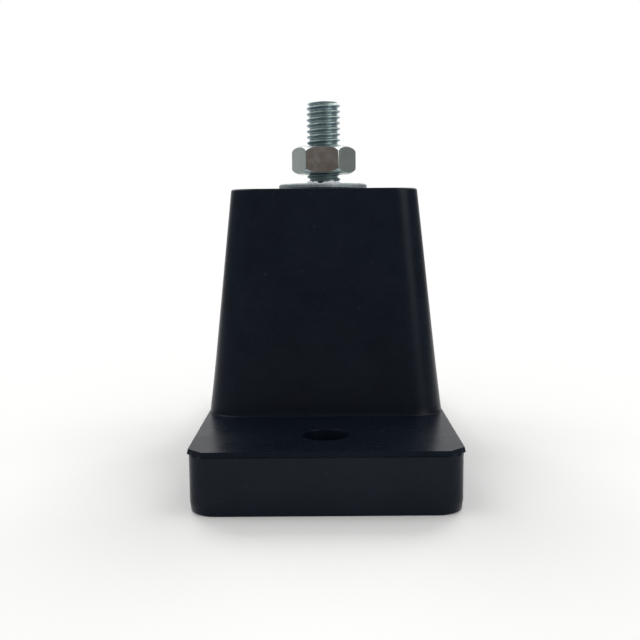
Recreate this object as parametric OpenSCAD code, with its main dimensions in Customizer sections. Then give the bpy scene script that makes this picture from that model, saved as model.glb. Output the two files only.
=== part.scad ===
/*
 * Rubber anti-vibration mount with a welded M6 stud.
 * A moulded rubber block stands on a flange with two bolt holes. A steel
 * plate is bonded to its top, with a threaded stud and a hexagon nut.
 * Millimetres, +Z up, origin at the middle of the underside.
 */

/* [Flange] */
// Length of the flange, along the line of the two holes
base_l = 84.6; // [76:1:100]
// Width of the flange
base_w = 39; // [36:0.5:46]
// Height of the flange
base_h = 9.3; // [6:0.1:14]
// Radius of the flange's corners, seen from above
base_corner_r = 2.8; // [1.5:0.1:5]
// Radius of the corners at the underside
sole_corner_r = 4; // [1.5:0.1:6]
// Height over which the corners change from one radius to the other
sole_corner_h = 1.8; // [1.1:0.1:3]
// Rounding of the flange's bottom edge
sole_edge = 0.2; // [0.1:0.05:0.8]
// Height of the moulding lip round the flange's top edge
lip_h = 0.9; // [0.5:0.1:2]
// How far the lip stands out from the flange's side
lip_out = 0.2; // [0.15:0.05:0.4]
// How far the lip's face leans in from there to the flange's top
lip_lean = 0.15; // [0.05:0.05:0.15]

/* [Bolt holes] */
// Distance between the two bolt holes
hole_pitch = 65; // [58:0.5:68]
// Diameter of each bolt hole
hole_d = 7; // [5:0.1:8]
// Width of the chamfer round each hole's rim
hole_rim = 0.1; // [0.1:0.1:0.6]

/* [Rubber block] */
// Height of the rubber, from the underside to the top face
rubber_h = 46.3; // [38:0.1:60]
// Length of the block at its foot, along the flange
foot_l = 40.5; // [34:0.5:46]
// Width of the block at its top
top_w = 31.1; // [24:0.1:34]
// Radius of the block's upright corners at the foot
foot_corner_r = 5.5; // [3:0.1:8]
// Height over which the block's foot flares into the flange
flare_h = 12; // [4:0.5:18]
// How far the foot flares out
flare_out = 0.12; // [0.05:0.01:0.8]
// Rounding of the block's top edge
top_edge = 0.35; // [0.1:0.05:0.8]

/* [Plate] */
// Diameter of the steel plate under the stud
plate_d = 15.8; // [12:0.1:22]
// Thickness of the plate
plate_t = 1.7; // [1.2:0.1:3]
// Depth that the plate is let into the rubber
plate_sink = 0.6; // [0.3:0.1:1]
// Rounding of the plate's top edge
plate_edge = 0.35; // [0.1:0.05:0.6]

/* [Stud] */
// Diameter over the crests of the stud's thread
stud_d = 6; // [5:0.05:7.9]
// Length of the stud above the plate
stud_l = 14.4; // [11:0.2:30]
// Length of the lead chamfer at the tip
tip_chamfer = 0.7; // [0.3:0.1:1.2]
// Width of the weld bead round the stud's foot
bead_w = 0.5; // [0.3:0.1:1]
// Height of the weld bead
bead_h = 0.25; // [0.15:0.05:0.4]

/* [Nut] */
// Width of the nut across its flats
nut_af = 10; // [9.5:0.1:13]
// Height of the nut
nut_h = 4.8; // [3:0.1:6.5]
// Gap between the plate and the nut as it is parked on the stud
nut_gap = 1.8; // [0.8:0.1:3]
// How far the nut is turned from square to the flange, in degrees
nut_turn = -3; // [-30:1:30]
// Clearance all round between the nut's bore and the stud
nut_clearance = 0.03; // [0.02:0.01:0.08]
// Width of the countersink at each end of the nut's bore
sink_w = 0.45; // [0.2:0.05:0.8]

/* [Hidden] */
$fn = 96;

// segments of the rounded corners inside a hull
hull_fn = 40;
// thickness of the layers that a hull joins
slab = 0.01;
// how far the block starts below the flange's top, so that the two are one
sunk = 0.1;
// how far a cutter runs past the face that it cuts
overcut = 1;
// the middle of a quarter round lies this share of its radius from either face
arc_mid = 1 - sqrt(1 / 2);

// the block's foot is flush with the flange's long sides, below the lip
foot_w = base_w;
// steps in which the hollow flare is made
flare_steps = 2;
lean_h = rubber_h - base_h;
top_corner_r = foot_corner_r * top_w / foot_w;

// the plate's seat in the rubber has a little room round it and under it
seat_room = 0.05;
plate_z = rubber_h - plate_sink + seat_room;
plate_top = plate_z + plate_t;

stud_r = stud_d / 2;
nut_z = plate_top + nut_gap;
nut_top = nut_z + nut_h;
nut_bore_r = stud_r + nut_clearance;

// the hexagon's corners are rolled off to this share of their full width
corner_share = 0.995;
nut_corner_r = corner_share * nut_af / sqrt(3);
// each end face is a circle of this share of the width across the flats
face_share = 0.92;
nut_face_r = face_share * nut_af / 2;
// both the end chamfers and the countersinks slope at this angle
nut_slope = 33;
nut_bevel = (nut_corner_r - nut_face_r) * tan(nut_slope);

// one turn of the thread is cut open just under the top of the parked nut
groove_h = 1;
groove_depth = 0.25;

module rounded_rect(w, l, r) {
    square([w - 2 * r, l], center = true);
    square([w, l - 2 * r], center = true);
    for (x = [-1, 1], y = [-1, 1])
        translate([x * (w / 2 - r), y * (l / 2 - r)])
            circle(r = r);
}

// one thin layer of a hull, drawn in by an inset on all sides
module layer(w, l, r, z, inset = 0) {
    translate([0, 0, z])
        linear_extrude(slab)
            rounded_rect(w - 2 * inset, l - 2 * inset, r, $fn = hull_fn);
}

module flange() {
    edge_r = sole_corner_r + (base_corner_r - sole_corner_r) * sole_edge / sole_corner_h;
    hull() {
        layer(base_w, base_l, sole_corner_r, 0, inset = sole_edge);
        layer(base_w, base_l, edge_r, arc_mid * sole_edge, inset = arc_mid * sole_edge);
        layer(base_w, base_l, edge_r, sole_edge);
        layer(base_w, base_l, base_corner_r, sole_corner_h);
    }
    translate([0, 0, sole_corner_h])
        linear_extrude(base_h - lip_h - sole_corner_h)
            rounded_rect(base_w, base_l, base_corner_r);
}

// the lip left where the two halves of the mould met
module lip() {
    w = base_w + 2 * lip_out;
    l = base_l + 2 * lip_out;
    r = base_corner_r + lip_out;
    hull() {
        layer(base_w, base_l, base_corner_r, base_h - lip_h);
        layer(w, l, r, base_h - lip_h + lip_out);
        layer(w, l, r, base_h - slab, inset = lip_lean);
    }
}

// how much wider the leaning block is than its top, at a height above the flange
function spread(h) = (foot_w - 2 * flare_out - top_w) * (1 - h / lean_h);

// the same with the hollow flare at the foot
function flared(h) = spread(h) + 2 * flare_out * pow(1 - h / flare_h, 2);

// a layer of the block, the same distance inside its foot on all four sides
module block_layer(h, spread_out, inset = 0) {
    w = top_w + spread_out;
    r = top_corner_r + (foot_corner_r - top_corner_r) * (1 - h / lean_h);
    layer(w, w + foot_l - foot_w, r, base_h + h, inset);
}

module block() {
    edge = lean_h - top_edge;
    hull() {
        block_layer(-sunk, spread(-sunk));
        block_layer(edge, spread(edge));
        block_layer(lean_h - arc_mid * top_edge, spread(lean_h), inset = arc_mid * top_edge);
        block_layer(lean_h - slab, spread(lean_h), inset = top_edge);
    }
    // the steps grow with their height, as the flare is hollowest at the foot
    for (i = [0 : flare_steps - 1]) {
        low = flare_h * pow(i / flare_steps, 2);
        high = flare_h * pow((i + 1) / flare_steps, 2);
        hull() {
            block_layer(low - slab, flared(low));
            block_layer(high, flared(high));
        }
    }
}

module bolt_hole() {
    translate([0, 0, -overcut])
        cylinder(d = hole_d, h = base_h + 2 * overcut);
    translate([0, 0, base_h - hole_rim])
        cylinder(d1 = hole_d, d2 = hole_d + 2 * (hole_rim + overcut), h = hole_rim + overcut);
}

module rubber_body() {
    color("#23262b")
        difference() {
            union() {
                flange();
                lip();
                block();
            }
            for (y = [-1, 1])
                translate([0, y * hole_pitch / 2, 0])
                    bolt_hole();
            translate([0, 0, rubber_h - plate_sink])
                cylinder(r = plate_d / 2 + seat_room, h = plate_sink + overcut);
        }
}

// a pressed disc with a rounded top edge
module top_plate() {
    r = plate_d / 2;
    color("#a9adab")
        translate([0, 0, plate_z])
            rotate_extrude()
                union() {
                    square([r, plate_t - plate_edge]);
                    square([r - plate_edge, plate_t]);
                    translate([r - plate_edge, plate_t - plate_edge])
                        intersection() {
                            circle(r = plate_edge);
                            square(plate_edge);
                        }
                }
}

module stud() {
    color("#8b9693")
        difference() {
            translate([0, 0, plate_top]) {
                cylinder(r = stud_r, h = stud_l - tip_chamfer);
                translate([0, 0, stud_l - tip_chamfer])
                    cylinder(r1 = stud_r, r2 = stud_r - tip_chamfer, h = tip_chamfer);
            }
            translate([0, 0, nut_top - groove_h])
                difference() {
                    cylinder(r = stud_r + overcut, h = groove_h);
                    cylinder(r = stud_r - groove_depth, h = groove_h);
                }
        }
}

// a low collar of weld metal, drawn up against the stud in a hollow curve
module weld_bead() {
    color("#8f908c")
        translate([0, 0, plate_top])
            rotate_extrude()
                polygon([
                    [stud_r, 0],
                    [stud_r + bead_w, 0],
                    [stud_r + arc_mid * bead_w, arc_mid * bead_h],
                    [stud_r, bead_h],
                ]);
}

// the hexagon, with both ends chamfered as on a turned blank
module nut_blank() {
    intersection() {
        rotate([0, 0, nut_turn])
            cylinder(d = 2 * nut_af / sqrt(3), h = nut_h, $fn = 6);
        rotate_extrude()
            polygon([
                [0, 0],
                [nut_face_r, 0],
                [nut_corner_r, nut_bevel],
                [nut_corner_r, nut_h - nut_bevel],
                [nut_face_r, nut_h],
                [0, nut_h],
            ]);
    }
}

module nut_countersink() {
    cylinder(r1 = nut_bore_r + sink_w, r2 = nut_bore_r, h = sink_w * tan(nut_slope));
    translate([0, 0, -overcut])
        cylinder(r = nut_bore_r + sink_w, h = overcut);
}

module hex_nut() {
    color("#7f8583")
        translate([0, 0, nut_z])
            difference() {
                nut_blank();
                translate([0, 0, -overcut])
                    cylinder(r = nut_bore_r, h = nut_h + 2 * overcut);
                nut_countersink();
                translate([0, 0, nut_h])
                    mirror([0, 0, 1])
                        nut_countersink();
            }
}

rubber_body();
top_plate();
stud();
weld_bead();
hex_nut();
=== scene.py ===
import math

import bmesh
import bpy
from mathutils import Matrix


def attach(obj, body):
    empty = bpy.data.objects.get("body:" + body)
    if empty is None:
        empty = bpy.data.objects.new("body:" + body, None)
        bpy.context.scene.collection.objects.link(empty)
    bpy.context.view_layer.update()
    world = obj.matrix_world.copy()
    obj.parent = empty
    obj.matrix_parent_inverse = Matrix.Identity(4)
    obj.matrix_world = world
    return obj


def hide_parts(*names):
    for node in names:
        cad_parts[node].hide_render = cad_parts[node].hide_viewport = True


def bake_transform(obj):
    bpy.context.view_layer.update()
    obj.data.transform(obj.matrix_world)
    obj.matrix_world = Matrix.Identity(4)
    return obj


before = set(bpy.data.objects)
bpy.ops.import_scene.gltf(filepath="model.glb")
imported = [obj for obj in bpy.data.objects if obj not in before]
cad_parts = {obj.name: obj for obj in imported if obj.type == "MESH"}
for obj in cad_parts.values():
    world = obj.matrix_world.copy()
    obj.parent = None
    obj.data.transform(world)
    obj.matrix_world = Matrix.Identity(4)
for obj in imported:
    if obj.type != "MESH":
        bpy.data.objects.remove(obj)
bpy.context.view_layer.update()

mm = 0.001

# pieces are modelled in millimetres and brought to size at the end
# two heights that differ by less than this are the same
slack = 0.01


# helpers for modelling
def deselectAll():
    bpy.ops.object.select_all(action="DESELECT")


def activate(piece):
    deselectAll()
    piece.select_set(True)
    bpy.context.view_layer.objects.active = piece


def edit(piece):
    activate(piece)
    bpy.ops.object.mode_set(mode="EDIT")
    bpy.ops.mesh.select_mode(type="VERT")
    bpy.ops.mesh.select_all(action="DESELECT")


def leaveEdit():
    bpy.ops.object.mode_set(mode="OBJECT")


def selectMesh():
    bpy.ops.mesh.select_all(action="SELECT")


def pick(kind, rule):
    # kind is verts or edges; only what follows the rule ends up selected
    bpy.ops.mesh.select_mode(type={"verts": "VERT", "edges": "EDGE"}[kind])
    bpy.ops.mesh.select_all(action="DESELECT")
    mesh = bmesh.from_edit_mesh(bpy.context.object.data)
    for part in getattr(mesh, kind):
        if rule(part):
            part.select_set(True)
    bmesh.update_edit_mesh(bpy.context.object.data)


def middle(edge):
    first, second = edge.verts
    return (first.co + second.co) / 2


def atHeight(z, within=slack):
    # for edges and faces
    return lambda part: all(abs(v.co.z - z) < within for v in part.verts)


def rimOf(z):
    # the open edges that lie at one height
    level = atHeight(z)
    return lambda e: e.is_boundary and level(e)


def justAdded(name):
    # the primitive that was added last, with its place put into its mesh
    piece = bpy.context.object
    piece.name = name
    piece.data.name = name
    bpy.ops.object.transform_apply(location=True, rotation=True, scale=True)
    return piece


def addPlane(name):
    deselectAll()
    bpy.ops.mesh.primitive_plane_add(size=1)
    return justAdded(name)


def addCylinder(name, sides, radius, depth, place, turn=0.0):
    deselectAll()
    bpy.ops.mesh.primitive_cylinder_add(
        vertices=sides, radius=radius, depth=depth, location=place, rotation=(0, 0, turn))
    return justAdded(name)


def addTube(name, sides, centre, rings, closed=False):
    # rings of (radius, height), each extruded from the one before; the last one can be closed
    x, y = centre
    r, z = rings[0]
    deselectAll()
    bpy.ops.mesh.primitive_circle_add(vertices=sides, radius=r, location=(x, y, z))
    piece = justAdded(name)
    edit(piece)
    selectMesh()
    for nextR, nextZ in rings[1:]:
        bpy.ops.mesh.extrude_region_move(TRANSFORM_OT_translate={"value": (0, 0, nextZ - z)})
        bpy.ops.transform.resize(value=(nextR / r, nextR / r, 1), center_override=(x, y, nextZ))
        r, z = nextR, nextZ
    if closed:
        bpy.ops.mesh.edge_face_add()
    leaveEdit()
    return piece


def cutRings(heights):
    for z in heights:
        selectMesh()
        bpy.ops.mesh.bisect(plane_co=(0, 0, z), plane_no=(0, 0, 1))


def widen(share, z):
    bpy.ops.transform.resize(value=(share, share, 1), center_override=(0, 0, z))


def turnOutward():
    selectMesh()
    bpy.ops.mesh.normals_make_consistent(inside=False)


def useModifier(piece, kind, **settings):
    activate(piece)
    bpy.ops.object.modifier_add(type=kind)
    modifier = piece.modifiers[-1]
    for key, value in settings.items():
        setattr(modifier, key, value)
    bpy.ops.object.modifier_apply(modifier=modifier.name)


def combine(piece, other, operation):
    # DIFFERENCE, UNION or INTERSECT; the other one is used up
    useModifier(piece, "BOOLEAN", object=other, operation=operation, solver="EXACT", use_self=True)
    bpy.data.objects.remove(other)


def mergeClose(piece):
    # a boolean can leave points that all but touch, with faces of no area between them
    edit(piece)
    selectMesh()
    bpy.ops.mesh.remove_doubles(threshold=0.0001)
    leaveEdit()


def toMetres(piece):
    activate(piece)
    piece.scale = (mm, mm, mm)
    bpy.ops.object.transform_apply(location=False, rotation=False, scale=True)


def smooth(piece, degrees):
    activate(piece)
    bpy.ops.object.shade_smooth_by_angle(angle=math.radians(degrees))


def keepFlat(piece, heights):
    # the wide flat faces at these heights, now in metres, take no shading from what rises from them
    edit(piece)
    wide = lambda f: abs(f.normal.z) > 0.9999 and any(atHeight(z, slack * mm)(f) for z in heights)
    pick("edges", lambda e: any(map(wide, e.link_faces)) and not all(map(wide, e.link_faces)))
    bpy.ops.mesh.mark_sharp()
    leaveEdit()


def paint(piece, material):
    piece.data.materials.clear()
    piece.data.materials.append(material)


def arcSteps(count=4):
    # (in, up) shares of a quarter round, from its upright end to its flat end
    angles = [math.radians(90 * i / count) for i in range(count + 1)]
    return [(1 - math.cos(a), math.sin(a)) for a in angles]


# helpers for node trees
def newMaterial(name):
    material = bpy.data.materials.new(name)
    material.use_nodes = True
    return material, material.node_tree, material.node_tree.nodes["Principled BSDF"]


def node(tree, kind, **values):
    # values name either an input socket or a setting of the node
    made = tree.nodes.new(kind)
    for key, value in values.items():
        if key in made.inputs:
            made.inputs[key].default_value = value
        else:
            setattr(made, key, value)
    return made


def calc(tree, operation, *values):
    made = node(tree, "ShaderNodeMath", operation=operation)
    for socket, value in zip(made.inputs, values):
        if isinstance(value, bpy.types.NodeSocket):
            tree.links.new(value, socket)
        else:
            socket.default_value = value
    return made.outputs["Value"]


def noiseAt(tree, scale, stretch=(1, 1, 1), detail=3, roughness=0.5, shift=(0, 0, 0)):
    # scale in features per metre, on the piece's own place
    where = node(tree, "ShaderNodeTexCoord")
    mapping = node(tree, "ShaderNodeMapping", Scale=stretch, Location=shift)
    made = node(tree, "ShaderNodeTexNoise", Scale=scale, Detail=detail, Roughness=roughness)
    tree.links.new(where.outputs["Object"], mapping.inputs["Vector"])
    tree.links.new(mapping.outputs["Vector"], made.inputs["Vector"])
    return made.outputs["Fac"]


def twoNoises(tree, coarse, fine, share):
    # share is how much of the sum the fine one makes up
    coarse = calc(tree, "MULTIPLY", noiseAt(tree, **coarse), 1 - share)
    fine = calc(tree, "MULTIPLY", noiseAt(tree, **fine), share)
    return calc(tree, "ADD", coarse, fine)


def ramp(tree, source, *stops):
    # each stop is (place, value or colour)
    made = node(tree, "ShaderNodeValToRGB")
    points = made.color_ramp.elements
    while len(points) < len(stops):
        points.new(0.5)
    for point, (place, value) in zip(points, stops):
        point.position = place
        point.color = (value, value, value, 1) if isinstance(value, (int, float)) else (*value, 1)
    tree.links.new(source, made.inputs["Fac"])
    return made.outputs["Color"]


def rampBetween(tree, source, between, values=(0.0, 1.0)):
    # from the first value to the second, while the source rises between two numbers
    return ramp(tree, source, *zip(between, values))


def spots(tree, between, **noise):
    return rampBetween(tree, noiseAt(tree, **noise), between)


def mixColour(tree, factor, first, second, blend="MIX"):
    made = node(tree, "ShaderNodeMix", data_type="RGBA", blend_type=blend)
    sockets = {s.identifier: s for s in made.inputs}
    for name, value in (("Factor_Float", factor), ("A_Color", first), ("B_Color", second)):
        if isinstance(value, bpy.types.NodeSocket):
            tree.links.new(value, sockets[name])
        elif name == "Factor_Float":
            sockets[name].default_value = value
        else:
            sockets[name].default_value = (*value, 1)
    return {s.identifier: s for s in made.outputs}["Result_Color"]


def bump(tree, height, distance, under=None):
    made = node(tree, "ShaderNodeBump", Strength=1.0, Distance=distance)
    tree.links.new(height, made.inputs["Height"])
    if under:
        tree.links.new(under, made.inputs["Normal"])
    return made.outputs["Normal"]


def facingUp(tree):
    # -1 where the surface faces down, 1 where it faces up
    place = node(tree, "ShaderNodeTexCoord")
    facing = node(tree, "ShaderNodeSeparateXYZ")
    tree.links.new(place.outputs["Normal"], facing.inputs["Vector"])
    return facing.outputs["Z"]


rubberLook = {
    "deep": (0.0036, 0.0062, 0.0116),
    "pale": (0.0062, 0.0098, 0.0168),
    "worn": (0.022, 0.026, 0.032),
    "clouds": {"scale": 90, "detail": 4, "roughness": 0.6},
    "mottle": {"scale": 700, "shift": (3, 1, 2)},
    "mottleShare": 0.35,
    "toneBetween": (0.32, 0.68),
    # hairline scuffs in two directions, only where a broad noise lets them through
    "scuffsUp": {"between": (0.72, 0.76), "scale": 60, "stretch": (50, 3, 9), "detail": 1},
    "scuffsAcross": {
        "between": (0.73, 0.77), "scale": 60, "stretch": (6, 5, 55), "detail": 1, "shift": (7, 0, 3)},
    "scuffedParts": {"between": (0.58, 0.70), "scale": 75, "detail": 2, "shift": (0, 9, 4)},
    "scuffStrength": 0.22,
    # dust: a few specks anywhere, and a thin layer of them on what faces up
    "specks": {"between": (0.84, 0.88), "scale": 1500, "detail": 0, "shift": (2, 5, 8)},
    "speckStrength": 0.6,
    "dust": {
        "between": (0.58, 0.76), "scale": 2300, "stretch": (0.45, 1.3, 1), "detail": 2, "roughness": 0.7,
        "shift": (4, 4, 0)},
    "dustStrength": 0.30,
    "dustRoughness": 0.1,
    "upwardBetween": (0.85, 0.97),
    "gloss": 0.12,          # specular level
    "roughness": (0.25, 0.33),
    "bloom": {"scale": 160, "detail": 5, "roughness": 0.65, "shift": (5, 5, 1)},
    "bloomBetween": (0.34, 0.66),
    "waves": {"scale": 170, "detail": 2, "shift": (1, 1, 6)},
    "waveHeight": 0.02 * mm,
    "grain": {"scale": 5200, "detail": 2},
    "grainHeight": 0.0012 * mm,
}


def makeRubberMaterial():
    look = rubberLook
    material, tree, shader = newMaterial("blackRubber")
    tone = twoNoises(tree, look["clouds"], look["mottle"], look["mottleShare"])
    base = rampBetween(tree, tone, look["toneBetween"], (look["deep"], look["pale"]))
    scuffs = calc(tree, "MAXIMUM", spots(tree, **look["scuffsUp"]), spots(tree, **look["scuffsAcross"]))
    scuffs = calc(tree, "MULTIPLY", scuffs, spots(tree, **look["scuffedParts"]))
    specks = calc(tree, "MULTIPLY", spots(tree, **look["specks"]), look["speckStrength"])
    upward = rampBetween(tree, facingUp(tree), look["upwardBetween"])
    layer = calc(tree, "MULTIPLY", spots(tree, **look["dust"]), upward)
    layer = calc(tree, "MULTIPLY", layer, look["dustStrength"])
    marks = calc(tree, "MULTIPLY", scuffs, look["scuffStrength"])
    marks = calc(tree, "MAXIMUM", marks, calc(tree, "MAXIMUM", specks, layer))
    tree.links.new(mixColour(tree, marks, base, look["worn"]), shader.inputs["Base Color"])
    bloom = rampBetween(tree, noiseAt(tree, **look["bloom"]), look["bloomBetween"], look["roughness"])
    roughness = calc(tree, "ADD", bloom, calc(tree, "MULTIPLY", layer, look["dustRoughness"]))
    tree.links.new(roughness, shader.inputs["Roughness"])
    shader.inputs["Specular IOR Level"].default_value = look["gloss"]
    waves = bump(tree, noiseAt(tree, **look["waves"]), look["waveHeight"])
    grain = bump(tree, noiseAt(tree, **look["grain"]), look["grainHeight"], under=waves)
    tree.links.new(grain, shader.inputs["Normal"])
    return material


flange = {
    "length": 84.6,
    "width": 39,
    "height": 9.3,
    "cornerRadius": 2.8,
    "soleCornerRadius": 4.0,
    "soleCornerHeight": 1.8,
    "soleCornerShares": (0.4, 0.7, 1.0),
    "soleEdge": 0.2,
    "wallHeights": (4.0, 6.4),
    "lipHeight": 0.9,
    "lipOut": 0.2,
    "lipLean": 0.15,
    "lipCut": 2.2,
    "holePitch": 65,
    "holeDiameter": 7.0,
    "holeRim": 0.1,
    "holeSides": 96,
    "holeShares": (0.7, 0.4),
}

block = {
    "top": 46.3,
    "topWidth": 31.1,
    "footWidth": 39.0,
    "longer": 1.5,          # along the flange, the block is longer than wide by this
    "footCorner": 5.5,
    "topCorner": 4.37,
    "filletOut": 0.13,
    "filletHeight": 0.2,
    "filletShares": (0, 0.12, 0.3, 0.55, 1.0),
    "flareOut": 0.12,
    "flareHeight": 12,
    "flareShares": (0.1, 0.2, 0.35, 0.55, 0.78, 1.0),
    "wallRings": 26,
    "topEdge": 0.35,
}

# the plate's seat, with the low welt of rubber that was pressed up round it
seat = {
    "radius": 7.95,
    "depth": 0.6,
    "aside": -0.2,          # the plate sits a little to the left of the middle
    "sides": 128,
    # outline of the welt, from its foot to the seat: (out from the seat, up from the block's top)
    "welt": ((1.3, 0), (0.78, 0.042), (0.39, 0.1764), (0.156, 0.3612), (0.06, 0.42), (0, 0.4032)),
    "floorShare": 0.6,      # where the last ring lies on the seat's floor
}

# steps in each rounded corner of the flange and the block
cornerSteps = 12


def addRing(width, length, radius, z, cut=False):
    # a rounded rectangle, or one with its corners cut straight; both have as many points
    bpy.ops.mesh.select_all(action="DESELECT")
    bpy.ops.mesh.primitive_plane_add(size=1, location=(0, 0, z))
    bpy.ops.transform.resize(value=(width, length, 1), center_override=(0, 0, z))
    bpy.ops.mesh.bevel(offset=radius, segments=1 if cut else cornerSteps, affect="VERTICES")
    bpy.ops.mesh.delete(type="ONLY_FACE")
    if cut:
        pick("edges", lambda e: atHeight(z)(e) and e.calc_length() < 2 * radius)
        bpy.ops.mesh.subdivide(number_cuts=cornerSteps - 1)


def loft(name, rings):
    # each ring is (width, length, corner radius, height), and perhaps that its corners are cut
    piece = addPlane(name)
    edit(piece)
    selectMesh()
    bpy.ops.mesh.delete(type="VERT")
    for ring in rings:
        addRing(*ring)
    selectMesh()
    bpy.ops.mesh.bridge_edge_loops()
    leaveEdit()
    return piece


def makeFlange():
    width, length, height = flange["width"], flange["length"], flange["height"]
    upper, lower, cornerTop = flange["cornerRadius"], flange["soleCornerRadius"], flange["soleCornerHeight"]
    sole, out, lean = flange["soleEdge"], flange["lipOut"], flange["lipLean"]

    def soleRing(z, inward=0.0):
        radius = lower + (upper - lower) * z / cornerTop
        return (width - 2 * inward, length - 2 * inward, radius, z)

    rings = [soleRing(sole * (1 - up), sole * inward) for inward, up in reversed(arcSteps())]
    rings += [soleRing(cornerTop * share) for share in flange["soleCornerShares"]]
    lipFoot = height - flange["lipHeight"]
    rings += [(width, length, upper, z) for z in (*flange["wallHeights"], lipFoot - out, lipFoot)]
    # the lip's corners were trimmed with one straight cut each
    wide, long, cut = width + 2 * out, length + 2 * out, flange["lipCut"]
    rings.append((wide, long, cut, lipFoot + out, True))
    rings.append((wide - 2 * lean, long - 2 * lean, cut, height, True))
    return loft("rubberMount", rings)


def makeBlock():
    foot, top, flare = flange["height"], block["top"], block["flareHeight"]
    tall = top - foot

    def ringAt(z, inward=0.0):
        h = z - foot
        straight = block["footWidth"] - 2 * block["flareOut"]
        wide = straight + (block["topWidth"] - straight) * h / tall
        wide += 2 * block["flareOut"] * max(0, 1 - h / flare) ** 2 - 2 * inward
        radius = block["footCorner"] + (block["topCorner"] - block["footCorner"]) * h / tall
        # the fillet widens the front and back only, as the sides are flush
        fillet = 2 * block["filletOut"] * max(0, 1 - h / block["filletHeight"]) ** 2
        return (wide, wide + block["longer"] + fillet, radius, z)

    edge, count = block["topEdge"], block["wallRings"]
    heights = [block["filletHeight"] * share for share in block["filletShares"]]
    heights += [flare * share for share in block["flareShares"]]
    heights += [flare + (tall - edge - flare) * (i + 1) / count for i in range(count)]
    rings = [ringAt(foot + h) for h in heights]
    rings += [ringAt(top - edge + edge * up, edge * inward) for inward, up in arcSteps()[1:]]
    return loft("leaningBlock", rings)


def makeBoltHole(y):
    # rounded at both rims
    radius, height, rim = flange["holeDiameter"] / 2, flange["height"], flange["holeRim"]
    arc = [(rim * (1 - up), rim * inward) for inward, up in arcSteps()]
    rings = [(radius + out, height - down) for out, down in arc]
    rings += [(radius, height * share) for share in flange["holeShares"]]
    rings += [(radius + out, down) for out, down in reversed(arc)]
    return addTube("boltHole", flange["holeSides"], (0, y), rings)


def makeSeat():
    radius, top = seat["radius"], block["top"]
    rings = [(radius + out, top + up) for out, up in seat["welt"]]
    rings += [(radius * share, top - seat["depth"]) for share in (1, seat["floorShare"])]
    return addTube("plateSeat", seat["sides"], (seat["aside"], 0), rings, closed=True)


def makeRubber():
    piece = makeFlange()
    half = flange["holePitch"] / 2
    others = [makeBlock(), makeBoltHole(-half), makeBoltHole(half), makeSeat()]
    activate(piece)
    for other in others:
        other.select_set(True)
    bpy.ops.object.join()
    # the flat faces between them: underside, flange top and block top
    edit(piece)
    levels = (0, flange["height"], block["top"])
    for z in levels:
        pick("edges", rimOf(z))
        bpy.ops.mesh.fill(use_beauty=True)
    turnOutward()
    leaveEdit()
    toMetres(piece)
    smooth(piece, degrees=28)
    keepFlat(piece, [z * mm for z in levels])
    paint(piece, makeRubberMaterial())
    return piece


rubber = makeRubber()
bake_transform(rubber)
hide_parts("rubber_body")
print("rubber made:", len(rubber.data.polygons), "faces")


# what the zinc of every piece and the weld share; a piece's own look has light and dark as the metal's
# tones, speckle as how strongly fine spots show, and under as the painted shade tone of what faces down
zincLook = {
    "patches": {"scale": 260, "shift": (1, 4, 2)},
    "fine": {"scale": 2600, "shift": (6, 2, 1)},
    "toneBetween": (0.36, 0.64),
    "rough": {"scale": 900, "shift": (3, 3, 3)},
    "roughBetween": (0.35, 0.65),
    "pits": {"scale": 3800, "shift": (0, 1, 5)},
    # painted shade: how the colour darkens as the surface turns downward
    "underBetween": (0.35, 0.62),
}


def makeZincMaterial(name, look):
    material, tree, shader = newMaterial(name)
    shader.inputs["Metallic"].default_value = look.get("metallic", 1.0)
    tone = twoNoises(tree, zincLook["patches"], zincLook["fine"], look["speckle"])
    base = rampBetween(tree, tone, zincLook["toneBetween"], (look["dark"], look["light"]))
    if "under" in look:     # painted shade: the lower flanks of the thread are darkened in colour
        level = calc(tree, "MULTIPLY_ADD", facingUp(tree), 0.5, 0.5)
        base = mixColour(tree, rampBetween(tree, level, zincLook["underBetween"]), look["under"], base)
    tree.links.new(base, shader.inputs["Base Color"])
    rough = noiseAt(tree, **zincLook["rough"])
    rough = rampBetween(tree, rough, zincLook["roughBetween"], look["roughness"])
    tree.links.new(rough, shader.inputs["Roughness"])
    pits = bump(tree, noiseAt(tree, **zincLook["pits"]), look["pitDepth"])
    tree.links.new(pits, shader.inputs["Normal"])
    return material


stud = {
    "crestRadius": 3.0,
    "rootRadius": 2.48,
    "pitch": 1.0,
    # half a pitch, from the middle of the root: (share of the pitch, share of the depth)
    "profile": (
        (0.05, 0.01), (0.10, 0.06), (0.16, 0.18), (0.38, 0.83), (0.43, 0.95), (0.465, 0.99), (0.5, 1.0)),
    "turnSteps": 72,
    "bottom": 46.4,
    "tip": 61.85,
    "tipChamfer": 0.4,
    "crestHeight": 61.30,   # height of a crest at the right-hand side
    "rodSides": 96,
    "rodSpare": 0.2,        # the rod that limits the thread is wider than the crests by this
    # the cone at the tip: its radii, how far to the right it stands, and the room under and over it
    "runOut": {"foot": 2.70, "end": 2.28, "sides": 64, "aside": 0.19, "under": 0.02, "over": 0.03},
    "look": {
        "light": (0.51, 0.585, 0.545),
        "dark": (0.41, 0.48, 0.45),
        # painted shade: the colour given to the thread's downward-facing flanks
        "under": (0.21, 0.285, 0.33),
        "speckle": 0.2,
        "roughness": (0.34, 0.42),
        "pitDepth": 0.0015 * mm,
    },
}


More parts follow.
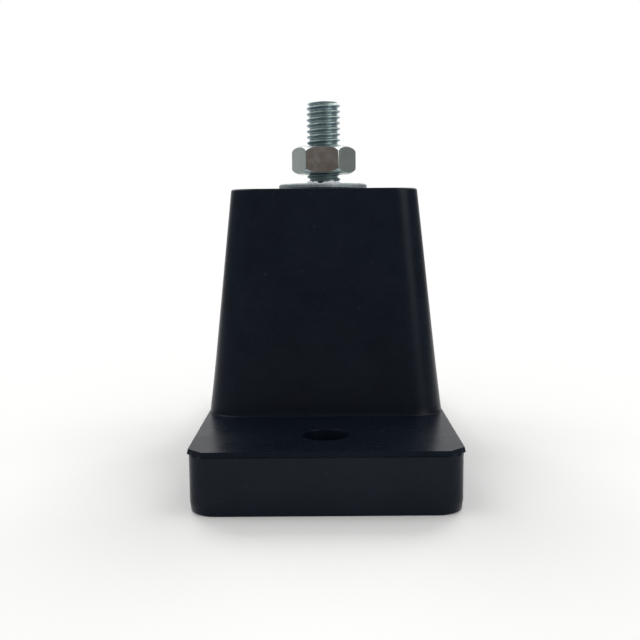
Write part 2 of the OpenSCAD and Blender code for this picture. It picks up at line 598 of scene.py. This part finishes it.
def makeThread(name, crestR, rootR, bottom, top):
    # one pitch of the profile, wound up as a right-hand screw and closed at both ends
    pitch, steps = stud["pitch"], stud["turnSteps"]
    start = stud["crestHeight"] - pitch / 2
    start -= math.ceil(start - bottom) * pitch + pitch
    piece = addPlane(name)
    edit(piece)
    selectMesh()
    bpy.ops.mesh.merge(type="CENTER")
    bpy.ops.transform.translate(value=(rootR, 0, start))
    rising = [(0.0, 0.0), *stud["profile"]]
    points = rising + [(1 - along, out) for along, out in reversed(rising[:-1])]
    for (along, out), (nextAlong, nextOut) in zip(points, points[1:]):
        step = ((nextOut - out) * (crestR - rootR), 0, (nextAlong - along) * pitch)
        bpy.ops.mesh.extrude_region_move(TRANSFORM_OT_translate={"value": step})
    leaveEdit()
    turns = math.ceil(top - start) + 2
    useModifier(
        piece, "SCREW", axis="Z", angle=math.tau, screw_offset=pitch, iterations=turns, steps=steps,
        render_steps=steps)
    edit(piece)
    # each turn is joined to the next
    selectMesh()
    bpy.ops.mesh.remove_doubles(threshold=0.002)
    for end in ("low", "high"):
        pick("edges", lambda e: e.is_boundary and (middle(e).z < (start + top) / 2) == (end == "low"))
        bpy.ops.mesh.extrude_region_move(TRANSFORM_OT_translate={"value": (0, 0, 0)})
        bpy.ops.mesh.merge(type="CENTER")
    turnOutward()
    leaveEdit()
    return piece


def makeStud():
    bottom, tip = stud["bottom"], stud["tip"]
    piece = makeThread("threadedStud", stud["crestRadius"], stud["rootRadius"], bottom, tip)
    # the rod that the thread was rolled on: chamfered at the tip
    spare = stud["rodSpare"]
    rod = addCylinder(
        "rod", stud["rodSides"], stud["crestRadius"] + spare, tip - bottom, (0, 0, (tip + bottom) / 2))
    edit(rod)
    pick("edges", atHeight(tip))
    bpy.ops.mesh.bevel(offset=stud["tipChamfer"] + spare, segments=1, affect="EDGES")
    leaveEdit()
    combine(piece, rod, "INTERSECT")
    # the groove runs out at the tip: a small cone, off to the right, fills its last half turn
    runOut = stud["runOut"]
    low, high = stud["crestHeight"] + runOut["under"], tip - runOut["over"]
    deselectAll()
    bpy.ops.mesh.primitive_cone_add(
        vertices=runOut["sides"], radius1=runOut["foot"], radius2=runOut["end"], depth=high - low,
        location=(runOut["aside"], 0, (low + high) / 2))
    combine(piece, justAdded("runOut"), "UNION")
    mergeClose(piece)
    toMetres(piece)
    smooth(piece, degrees=40)
    paint(piece, makeZincMaterial("zincThread", stud["look"]))
    return piece


threadedStud = makeStud()
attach(threadedStud, "stud_assembly")
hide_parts("stud")
print("stud made:", len(threadedStud.data.polygons), "faces")


nut = {
    "acrossFlats": 10.0,
    "bottom": 49.25,
    "height": 4.8,
    "turn": -3.0,
    "cornerShare": 0.995,   # the corners are rolled off a little
    "faceShare": 0.92,      # width of the round end faces, as a share of the flats
    "blankSides": 144,
    # the chamfer steepens towards the corners: (radius, how far under the end face)
    "chamfer": ((5.12, 0.22), (5.38, 0.41), (5.60, 0.62)),
    "cornerDrop": 0.90,
    "boreRadius": 3.015,
    "boreSides": 96,
    "drillOverrun": 1,
    "sinkRadius": 3.45,
    # edges that turn by more degrees than this are rounded, apart from the countersinks' own
    "roundFrom": 24,
    "edgeRound": 0.025,
    "sinkMargin": 0.3,
    "grooveRadius": 3.38,
    "grooveOverlap": 0.03,
    "look": {
        "light": (0.70, 0.775, 0.755),
        "dark": (0.64, 0.715, 0.695),
        "speckle": 0.2,
        "roughness": (0.17, 0.24),
        "pitDepth": 0.0010 * mm,
    },
}


def makeNut():
    height, flats = nut["height"], nut["acrossFlats"]
    z0, z1 = nut["bottom"], nut["bottom"] + height
    mid = (z0 + z1) / 2
    hexR = flats / math.sqrt(3)
    # half a side further round, a flat faces the camera
    turn = math.radians(nut["turn"]) + math.radians(30)
    piece = addCylinder("hexNut", 6, hexR, height, (0, 0, mid), turn)
    # a turned blank with chamfered ends leaves the curved edges on the hexagon
    cornerR, faceR = nut["cornerShare"] * hexR, nut["faceShare"] * flats / 2
    blank = addCylinder("blank", nut["blankSides"], faceR, height, (0, 0, mid))
    edit(blank)
    wide = faceR
    for radius, drop in (*nut["chamfer"], (cornerR, nut["cornerDrop"])):
        cutRings((z0 + drop, z1 - drop))
        pick("verts", lambda v: abs(v.co.z - mid) < mid - z0 - drop + slack)
        widen(radius / wide, mid)
        wide = radius
    leaveEdit()
    combine(piece, blank, "INTERSECT")

    # bore, with countersunk ends
    boreR, sinkR = nut["boreRadius"], nut["sinkRadius"]
    drill = addCylinder("drill", nut["boreSides"], boreR, height + 2 * nut["drillOverrun"], (0, 0, mid))
    edit(drill)
    cutRings((z0, z0 + sinkR - boreR, z1 - sinkR + boreR, z1))
    pick("verts", lambda v: v.co.z < z0 + slack or v.co.z > z1 - slack)
    widen(sinkR / boreR, mid)
    leaveEdit()
    combine(piece, drill, "DIFFERENCE")

    # soft edges round the flats
    edit(piece)
    sharp, outside = math.radians(nut["roundFrom"]), sinkR + nut["sinkMargin"]
    pick("edges", lambda e: e.is_manifold and e.calc_face_angle() > sharp and middle(e).xy.length > outside)
    bpy.ops.mesh.bevel(offset=nut["edgeRound"], segments=3, affect="EDGES", clamp_overlap=True)
    leaveEdit()
    # the thread inside, cut outwards from the bore
    tap = makeThread("tap", nut["grooveRadius"], boreR - nut["grooveOverlap"], z0, z1)
    combine(piece, tap, "DIFFERENCE")
    mergeClose(piece)
    toMetres(piece)
    smooth(piece, degrees=30)
    # the flats keep their own shading, and the narrow faces between them take up the turn
    useModifier(piece, "WEIGHTED_NORMAL", mode="FACE_AREA", weight=50, keep_sharp=True)
    paint(piece, makeZincMaterial("zincNut", nut["look"]))
    return piece


hexNut = makeNut()
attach(hexNut, "nut")
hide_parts("hex_nut")
print("nut made:", len(hexNut.data.polygons), "faces")


plate = {
    "radius": 7.9,
    "sides": 160,
    "bottom": 45.75,
    "thickness": 1.7,
    "topEdge": 0.35,
    "bottomEdge": 0.12,
    "look": {
        "light": (0.55, 0.61, 0.625),
        "dark": (0.39, 0.445, 0.46),
        "speckle": 0.5,
        "roughness": (0.56, 0.72),
        "pitDepth": 0.010 * mm,
    },
}

weld = {
    "ringRadius": 3.0,
    "thickness": 0.22,
    # angle from the front, anticlockwise from above, distance from the axis, length across, depth and height
    "lumps": (
        (-44, 3.0, 1.6, 0.6, 0.34), (95, 3.0, 1.9, 0.6, 0.28), (150, 3.0, 1.4, 0.6, 0.32),
        (-150, 3.0, 2.2, 0.6, 0.30), (-22, 6.5, 1.2, 0.8, 0.42), (-13, 6.6, 1.1, 0.7, 0.34),
        (3, 6.5, 1.3, 0.8, 0.28), (12, 6.5, 1.7, 0.9, 0.44), (20, 6.6, 1.2, 0.8, 0.36),
        (128, 6.4, 0.9, 0.8, 0.30),
    ),
    "voxel": 0.06,          # the lumps are melted into each other at this fineness
    "melt": {"factor": 0.5, "iterations": 4},
    "sunk": 0.1,            # how deep the weld goes into the plate
    "look": {
        "light": (0.80, 0.80, 0.82),
        "dark": (0.55, 0.55, 0.57),
        "speckle": 0.5,
        "metallic": 0.2,
        "roughness": (0.40, 0.58),
        "pitDepth": 0.012 * mm,
    },
}


def makePlate():
    bottom, thick = plate["bottom"], plate["thickness"]
    place = (seat["aside"], 0, bottom + thick / 2)
    piece = addCylinder("studPlate", plate["sides"], plate["radius"], thick, place)
    edit(piece)
    pick("edges", atHeight(bottom + thick))
    bpy.ops.mesh.bevel(offset=plate["topEdge"], segments=5, affect="EDGES")
    pick("edges", atHeight(bottom))
    bpy.ops.mesh.bevel(offset=plate["bottomEdge"], segments=2, affect="EDGES")
    leaveEdit()
    toMetres(piece)
    smooth(piece, degrees=40)
    paint(piece, makeZincMaterial("zincPlate", plate["look"]))
    return piece


def makeWeld():
    top = plate["bottom"] + plate["thickness"]
    deselectAll()
    bpy.ops.mesh.primitive_torus_add(
        major_radius=weld["ringRadius"], minor_radius=weld["thickness"], major_segments=96,
        minor_segments=16, location=(0, 0, top))
    piece = justAdded("weldBead")
    for angle, away, across, deep, height in weld["lumps"]:
        a = math.radians(angle - 90)
        place, size = (away * math.cos(a), away * math.sin(a), top), (deep / 2, across / 2, height)
        deselectAll()
        bpy.ops.mesh.primitive_uv_sphere_add(
            segments=24, ring_count=16, radius=1, location=place, rotation=(0, 0, a), scale=size)
        combine(piece, justAdded("lump"), "UNION")
    useModifier(piece, "REMESH", mode="VOXEL", voxel_size=weld["voxel"])
    useModifier(piece, "SMOOTH", **weld["melt"])
    edit(piece)
    selectMesh()
    low = (0, 0, top - weld["sunk"])
    bpy.ops.mesh.bisect(plane_co=low, plane_no=(0, 0, 1), clear_inner=True, use_fill=True)
    leaveEdit()
    toMetres(piece)
    smooth(piece, degrees=60)
    paint(piece, makeZincMaterial("weldMetal", weld["look"]))
    return piece


studPlate = makePlate()
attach(studPlate, "stud_assembly")
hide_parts("top_plate")
weldBead = makeWeld()
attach(weldBead, "stud_assembly")
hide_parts("weld_bead")
print("plate and weld made")


stage = {
    "floorSize": 1.0,
    "floorBack": 0.2,       # the sheet reaches further behind the object than before it
    "floorColour": (0.90, 0.896, 0.888),
    "floorGlow": 0.035,
    "worldLight": 0.36,     # what diffuse light comes from all round
    "frontLight": 1.15,     # and from low in front
}

# the room that shines in metal and rubber: as a direction rises, the horizon gives way to the wall and the
# wall to the roof, and the left is a little lighter than the right
room = {
    "wallBetween": (0.09, 0.24),
    "roofBetween": (0.50, 0.75),
    "leftAndRight": (0.98, 0.65),
    # from the camera's side (0) round to the white backdrop (1)
    "horizonTones": (
        (0.0, (0.118, 0.067, 0.052)),
        (0.40, (0.150, 0.148, 0.145)),
        (0.70, (0.262, 0.262, 0.262)),
        (0.80, (0.28, 0.28, 0.28)),
        (0.93, (0.85, 0.85, 0.85)),
        (1.0, (1.0, 1.0, 1.0)),
    ),
    "wallTones": (
        (0.0, (0.26, 0.285, 0.31)),
        (0.70, (0.30, 0.30, 0.30)),
        (0.80, (0.37, 0.37, 0.37)),
        (0.93, (0.85, 0.85, 0.85)),
        (1.0, (1.0, 1.0, 1.0)),
    ),
    # dark over the middle (0) and light towards both sides (1)
    "roofTones": ((0.0, 0.15), (0.10, 0.18), (0.32, 0.80), (0.50, 1.0)),
    # where each window is, how bright, and the cosines from its middle between which it fades in
    "windows": (
        ((0.73, -0.56, 0.40), 2.1, (0.925, 0.985)),
        ((-0.38, 0.74, 0.55), 1.3, (0.93, 0.985)),
        ((0.38, 0.74, 0.55), 1.3, (0.93, 0.985)),
    ),
}

# azimuth from the camera's side anticlockwise from above, elevation, strength, softness in degrees, and
# whether metal mirrors it: the pair at the back only throws the shadow
suns = (
    ("backRightSun", 155, 39, 0.98, 30, False),
    ("backLeftSun", 205, 39, 0.98, 30, False),
    ("rightSun", 95, 58, 0.45, 38, True),
    ("leftSun", 265, 58, 0.45, 38, True),
)

view = {
    "place": (-0.000008, -0.16329, 0.04198),
    "turn": (83.2837, 0.4966, 0.2655),
    "sensor": 36,
    "lens": 50.24,
    "clip": (0.01, 20),
}


def makeFloor():
    deselectAll()
    bpy.ops.mesh.primitive_plane_add(size=stage["floorSize"], location=(0, stage["floorBack"], 0))
    floor = justAdded("studioFloor")
    material, tree, shader = newMaterial("paleFloor")
    tree.nodes.remove(shader)
    diffuse = node(tree, "ShaderNodeBsdfDiffuse", Color=(*stage["floorColour"], 1))
    glow = node(tree, "ShaderNodeEmission", Color=(1, 1, 1, 1))
    path = node(tree, "ShaderNodeLightPath")
    seen = calc(tree, "MAXIMUM", path.outputs["Is Camera Ray"], path.outputs["Is Glossy Ray"])
    seen = calc(tree, "MAXIMUM", seen, path.outputs["Is Transmission Ray"])
    tree.links.new(calc(tree, "MULTIPLY", seen, stage["floorGlow"]), glow.inputs["Strength"])
    both = node(tree, "ShaderNodeAddShader")
    tree.links.new(diffuse.outputs["BSDF"], both.inputs[0])
    tree.links.new(glow.outputs["Emission"], both.inputs[1])
    tree.links.new(both.outputs["Shader"], tree.nodes["Material Output"].inputs["Surface"])
    floor.data.materials.append(material)


def makeRoom(tree, direction, split):
    # the tones that a mirrored direction meets
    up = split.outputs["Z"]
    across, depth = (calc(tree, "MULTIPLY_ADD", split.outputs[axis], 0.5, 0.5) for axis in "XY")
    horizon, wall = (ramp(tree, depth, *room[tones]) for tones in ("horizonTones", "wallTones"))
    tone = mixColour(tree, rampBetween(tree, up, room["wallBetween"]), horizon, wall)
    sides = rampBetween(tree, across, (0.0, 1.0), room["leftAndRight"])
    tone = mixColour(tree, 1.0, tone, sides, "MULTIPLY")
    roof = ramp(tree, calc(tree, "ABSOLUTE", split.outputs["X"]), *room["roofTones"])
    tone = mixColour(tree, rampBetween(tree, up, room["roofBetween"]), tone, roof)
    for place, light, between in room["windows"]:
        towards = node(tree, "ShaderNodeVectorMath", operation="DOT_PRODUCT")
        tree.links.new(direction, towards.inputs[0])
        towards.inputs[1].default_value = place
        window = rampBetween(tree, towards.outputs["Value"], between)
        # multiplied apart, because a mix holds its factor to one
        tone = mixColour(tree, 1.0, tone, calc(tree, "MULTIPLY", window, light), "ADD")
    return tone


def makeWorld():
    world = bpy.data.worlds.new("softStudio")
    bpy.context.scene.world = world
    world.use_nodes = True
    tree = world.node_tree
    background = tree.nodes["Background"]
    where = node(tree, "ShaderNodeTexCoord")
    split = node(tree, "ShaderNodeSeparateXYZ")
    tree.links.new(where.outputs["Generated"], split.inputs["Vector"])
    shining = makeRoom(tree, where.outputs["Generated"], split)
    # soft light for the front faces, strongest level with them
    front = calc(tree, "MAXIMUM", calc(tree, "MULTIPLY", split.outputs["Y"], -1.0), 0.0)
    front = calc(tree, "MULTIPLY", front, stage["frontLight"])
    low = calc(tree, "SUBTRACT", 1.0, split.outputs["Z"])
    fill = calc(tree, "MULTIPLY_ADD", front, low, stage["worldLight"])
    # the camera sees white, what shines sees the room, and all else gets the fill
    path = node(tree, "ShaderNodeLightPath")
    camera = path.outputs["Is Camera Ray"]
    shine = calc(tree, "MAXIMUM", path.outputs["Is Glossy Ray"], path.outputs["Is Transmission Ray"])
    seen = calc(tree, "MAXIMUM", camera, shine)
    colour = mixColour(tree, seen, (1, 1, 1), mixColour(tree, camera, shining, (1, 1, 1)))
    strength = calc(tree, "MULTIPLY_ADD", calc(tree, "SUBTRACT", 1.0, seen), fill, seen)
    tree.links.new(colour, background.inputs["Color"])
    tree.links.new(strength, background.inputs["Strength"])


def makeSuns():
    for name, azimuth, elevation, strength, softness, mirrored in suns:
        deselectAll()
        bpy.ops.object.light_add(type="SUN", location=(0, 0, 1))
        sun = bpy.context.object
        sun.name = name
        sun.data.energy = strength
        sun.data.angle = math.radians(softness)
        sun.visible_glossy = mirrored
        sun.rotation_euler = (math.radians(90 - elevation), 0, math.radians(azimuth))


def makeCamera():
    deselectAll()
    bpy.ops.object.camera_add(location=view["place"])
    camera = bpy.context.object
    camera.rotation_euler = tuple(math.radians(a) for a in view["turn"])
    camera.data.sensor_width = view["sensor"]
    camera.data.lens = view["lens"]
    camera.data.clip_start, camera.data.clip_end = view["clip"]
    bpy.context.scene.camera = camera


makeFloor()
makeWorld()
makeSuns()
makeCamera()
bpy.context.scene.view_settings.view_transform = "Standard"
print("stage made")
